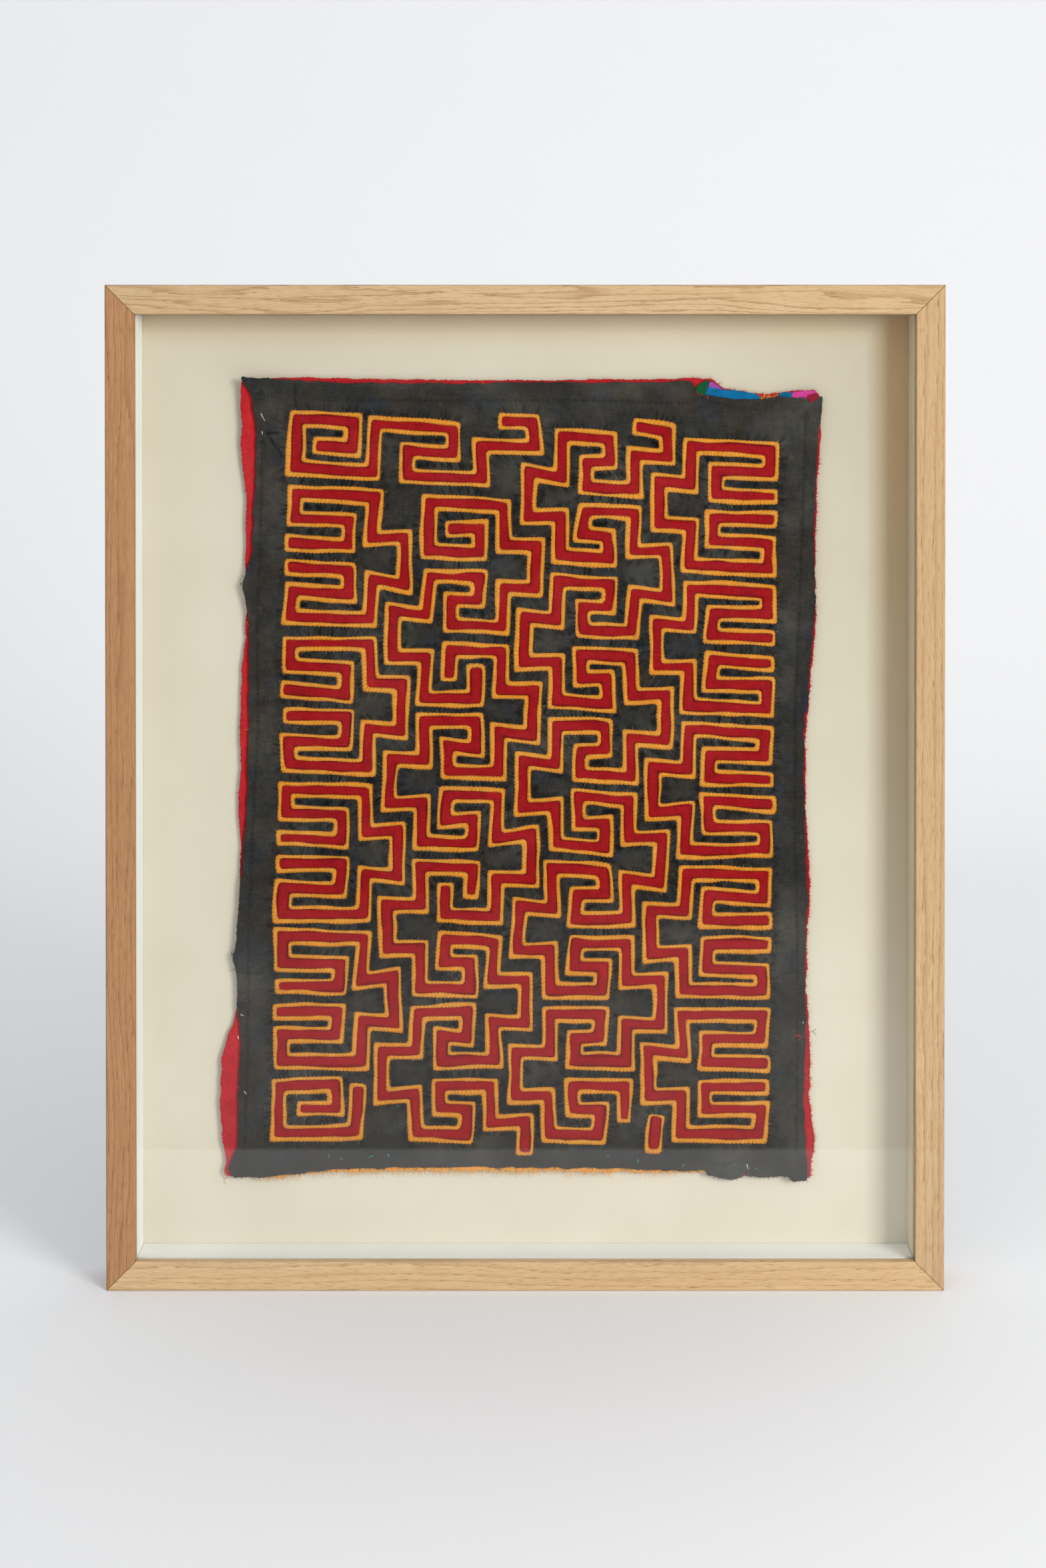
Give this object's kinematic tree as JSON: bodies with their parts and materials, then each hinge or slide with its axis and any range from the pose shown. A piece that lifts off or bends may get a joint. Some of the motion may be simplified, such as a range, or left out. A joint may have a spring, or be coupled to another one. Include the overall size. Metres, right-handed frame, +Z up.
{
  "type": "framed mola panel",
  "caption": "Reverse applique cotton mola panel with a labyrinth of red and orange lanes on black, float mounted behind glass in a deep oak frame.",
  "frame": {"origin": "on the surface that the frame stands on, under the middle of its width and depth", "axes": "+Z up along the panel's height, +X across its width to the viewer's right, +Y from the glass towards the back board"},
  "size_m": [0.5, 0.035, 0.6],
  "materials": {
    "oak": "satin",
    "pane": "polished",
    "spacer": "matte",
    "mount_board": "matte",
    "back_board": "matte",
    "red_cotton": "woven",
    "orange_cotton": "woven",
    "black_cotton": "woven",
    "green_cotton": "woven",
    "violet_cotton": "woven",
    "blue_cotton": "woven",
    "pink_cotton": "woven",
    "wine_cotton": "woven"
  },
  "bodies": {
    "root": {"rail_left": "oak", "rail_bottom": "oak", "rail_right": "oak", "rail_top": "oak", "glass": "pane", "spacer_left": "spacer", "spacer_right": "spacer", "spacer_bottom": "spacer", "spacer_top": "spacer", "mount_board": "mount_board", "back_board": "back_board", "red_base_cloth": "red_cotton", "orange_middle_cloth": "orange_cotton", "black_top_cloth": "black_cotton", "scrap_green": "green_cotton", "scrap_violet": "violet_cotton", "scrap_blue": "blue_cotton", "scrap_blue_end": "blue_cotton", "scrap_pink": "pink_cotton", "scrap_wine": "wine_cotton"}
  },
  "joints": []
}
